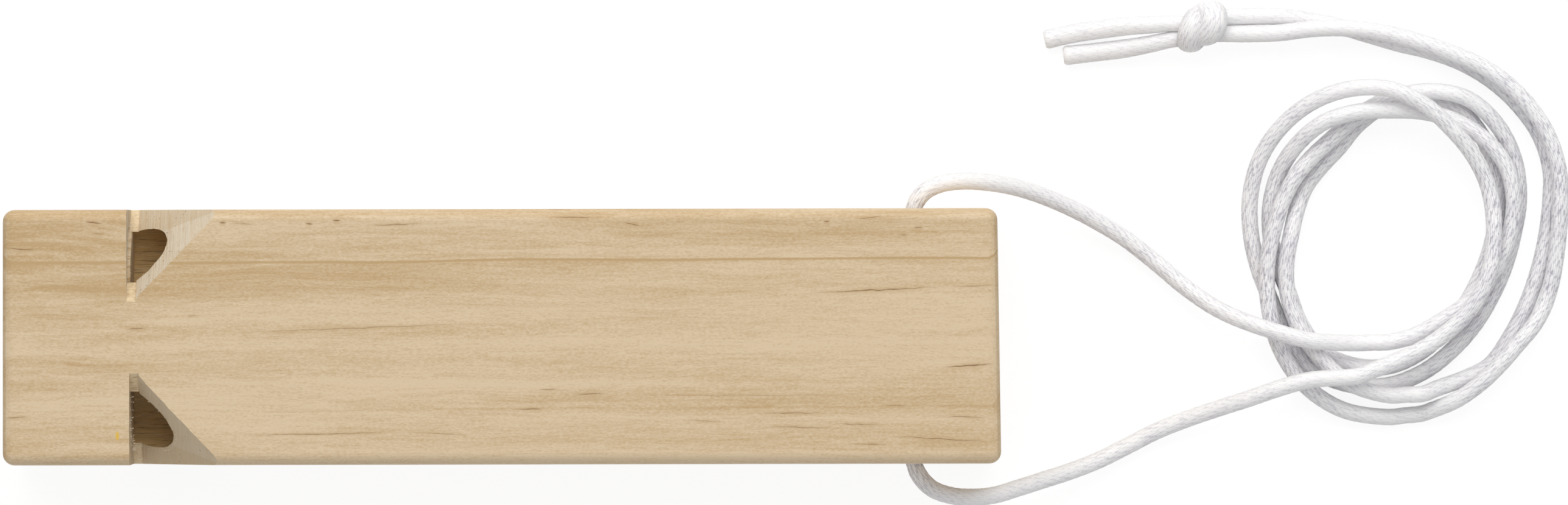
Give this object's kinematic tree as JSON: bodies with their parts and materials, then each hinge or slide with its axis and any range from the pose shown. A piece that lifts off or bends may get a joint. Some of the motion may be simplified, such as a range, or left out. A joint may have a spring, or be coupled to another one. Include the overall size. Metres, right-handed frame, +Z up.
{
  "type": "wooden train whistle",
  "caption": "Square pine block drilled lengthwise with corner sound windows, dowel mouth plugs and a white braided neck cord tied in a knot.",
  "frame": {"origin": "middle of the block's underside, on the table", "axes": "+X along the block from the blow end to the cord's end, +Z up, +Y to the player's left"},
  "size_m": [0.2539, 0.0822, 0.041],
  "materials": {
    "pine": "bare, finely sanded",
    "dowel": "bare dowel with end grain",
    "cord": "white satin braid"
  },
  "bodies": {
    "root": {"block": "pine", "fipple_plug_top_left": "dowel", "fipple_plug_top_right": "dowel", "fipple_plug_bottom_left": "dowel", "fipple_plug_bottom_right": "dowel", "cord_in_hole": "cord", "cord_leg_left": "cord", "cord_leg_right": "cord", "cord_coil_left": "cord", "cord_coil_right": "cord", "cord_run_left": "cord", "cord_run_right": "cord", "cord_knot": "cord", "cord_tail_left": "cord", "cord_tail_right": "cord"}
  },
  "joints": []
}
